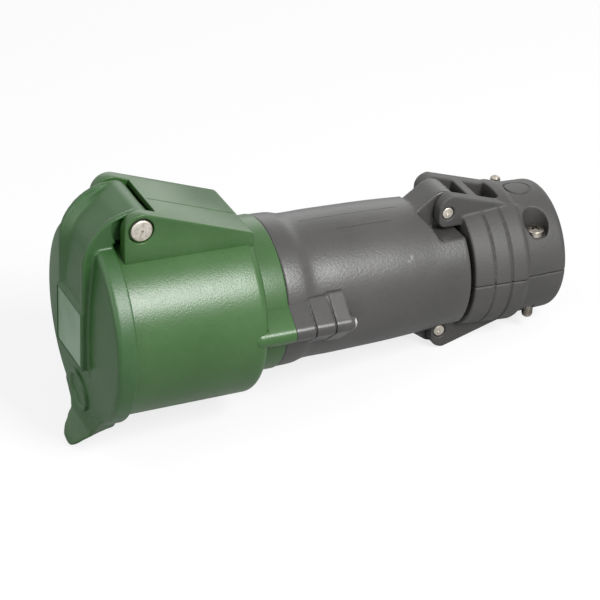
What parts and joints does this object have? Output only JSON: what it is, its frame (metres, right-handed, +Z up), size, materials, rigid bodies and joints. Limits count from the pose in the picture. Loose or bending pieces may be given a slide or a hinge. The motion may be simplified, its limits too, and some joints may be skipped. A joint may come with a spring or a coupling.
{
  "type": "industrial power coupler",
  "caption": "Round portable power socket with a sprung flap lid on a top hinge, pin sockets inside, a ribbed handle and a two jaw cable clamp at the rear.",
  "frame": {"origin": "centre of the mouth ring, on the mouth's front plane", "axes": "+X along the coupler axis from the mouth towards the cable, +Z up through the lid's hinge, +Y towards the side without the rib"},
  "size_m": [0.2167, 0.0858, 0.1119],
  "materials": {
    "green_plastic": "moulded polyamide, satin, fine spark-eroded grain",
    "grey_plastic": "moulded polyamide, satin, fine spark-eroded grain",
    "insert_plastic": "moulded glass-filled polyamide, smooth",
    "seal_rubber": "moulded, matt",
    "plate_foil": "printed polyester foil, blank",
    "pin_steel": "turned stainless steel, dull",
    "screw_steel": "zinc plated steel, slightly yellowed",
    "spring_steel": "drawn spring wire, dull",
    "contact_brass": "turned brass, dull"
  },
  "bodies": {
    "coupler": {"front_housing": "green_plastic", "hinge_pin": "pin_steel", "hinge_nut": "pin_steel", "lid_spring": "spring_steel", "contact_insert": "insert_plastic", "insert_back": "insert_plastic", "insert_screw": "pin_steel", "contact_l1": "contact_brass", "contact_l2": "contact_brass", "contact_l3": "contact_brass", "contact_neutral": "contact_brass", "contact_earth": "contact_brass", "terminal_screws": "pin_steel", "head_seal": "seal_rubber", "handle_body": "grey_plastic", "cable_seal": "seal_rubber", "upper_jaw": "grey_plastic", "lower_jaw": "grey_plastic", "upper_pivot_pin": "pin_steel", "lower_pivot_pin": "pin_steel", "near_clamp_screw": "screw_steel", "far_clamp_screw": "screw_steel"},
    "lid": {"flap_lid": "green_plastic", "lid_gasket": "seal_rubber", "rating_plate": "plate_foil"}
  },
  "joints": [
    {"name": "lid_hinge", "type": "hinge", "parent": "coupler", "child": "lid", "pos_m": [0.0144, 0, 0.0483], "axis": [0, 1, 0], "range_deg": [0, 105], "stiffness_Nm_per_rad": 0.1, "springref_deg": -126.05}
  ]
}
